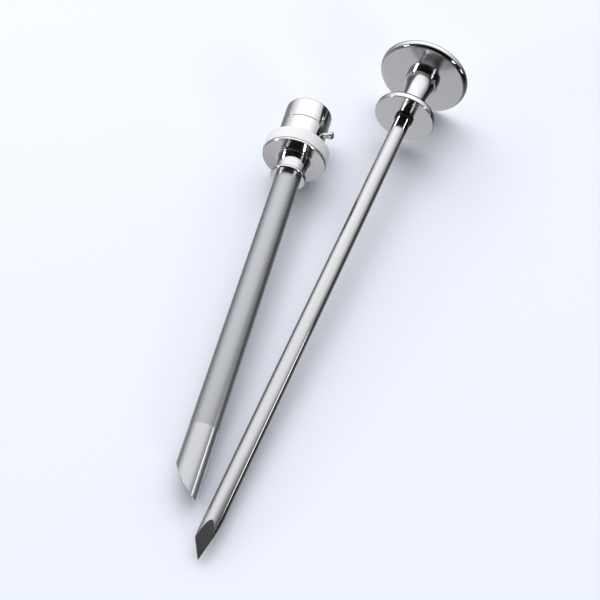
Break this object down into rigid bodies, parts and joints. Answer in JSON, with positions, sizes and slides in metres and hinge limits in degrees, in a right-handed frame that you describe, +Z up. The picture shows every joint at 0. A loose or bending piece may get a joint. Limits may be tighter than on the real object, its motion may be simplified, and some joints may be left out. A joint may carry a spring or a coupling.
{
  "type": "laparoscopic trocar",
  "caption": "Reusable steel laparoscopic trocar, taken apart: a valved cannula with an obliquely cut tube, and beside it a pyramid-tipped obturator with a spool handle.",
  "frame": {"origin": "on the surface that the set lies on (z = 0), under the middle of its bounding box", "axes": "+Z up; +Y along the set's length, from the tips towards the handles; +X to the obturator's handle side"},
  "size_m": [0.0899, 0.1697, 0.0307],
  "materials": {
    "steel_mirror": "stainless steel, mirror polished",
    "steel_satin": "stainless steel, fine satin",
    "steel_blasted": "stainless steel, bead blasted, matte",
    "steel_turned": "stainless steel, as turned",
    "silicone": "translucent silicone",
    "o_ring_rubber": "black, matte",
    "ptfe": "white, matte"
  },
  "bodies": {
    "cannula": {"cannula_tube": "steel_satin", "neck_ferrule": "steel_mirror", "hub_flange": "steel_mirror", "grip_ring": "steel_blasted", "base_o_ring": "o_ring_rubber", "valve_housing": "steel_mirror", "orientation_pin": "steel_mirror", "valve_seat_washer": "ptfe", "leaflet_valve": "silicone", "spacer_ring": "steel_turned", "housing_o_ring": "o_ring_rubber"},
    "cap_seal": {"seal_carrier": "steel_turned", "instrument_seal": "silicone"},
    "cap": {"valve_cap": "steel_mirror", "cap_bush": "ptfe", "retaining_ring": "steel_turned"},
    "shaft_ring": {"shaft_o_ring": "o_ring_rubber"},
    "obturator": {"obturator_shaft": "steel_mirror", "handle_spool": "steel_mirror", "palm_disc": "steel_mirror", "lock_washer": "steel_turned", "handle_screw": "steel_turned"}
  },
  "joints": [
    {"name": "cap_lift", "type": "slide", "parent": "cannula", "child": "cap_seal", "axis": [0.252, 0.9659, 0.0598], "range_m": [0, 0.003]},
    {"name": "cap_turn", "type": "hinge", "parent": "cap_seal", "child": "cap", "pos_m": [-0.00972, 0.05977, 0.01175], "axis": [0.252, 0.9659, 0.0598], "range_deg": [0, 720]},
    {"name": "obturator_slide", "type": "slide", "parent": "cannula", "child": "shaft_ring", "axis": [0.3915, 0.917, 0.0756], "range_m": [0, 0.157]},
    {"name": "obturator_spin", "type": "hinge", "parent": "shaft_ring", "child": "obturator", "pos_m": [0.02258, 0.05899, 0.01382], "axis": [0.3915, 0.917, 0.0756], "continuous": true}
  ],
  "couplings": [
    {"joint": "cap_lift", "follows": "cap_turn", "m_per_rad": 0.00023873}
  ]
}
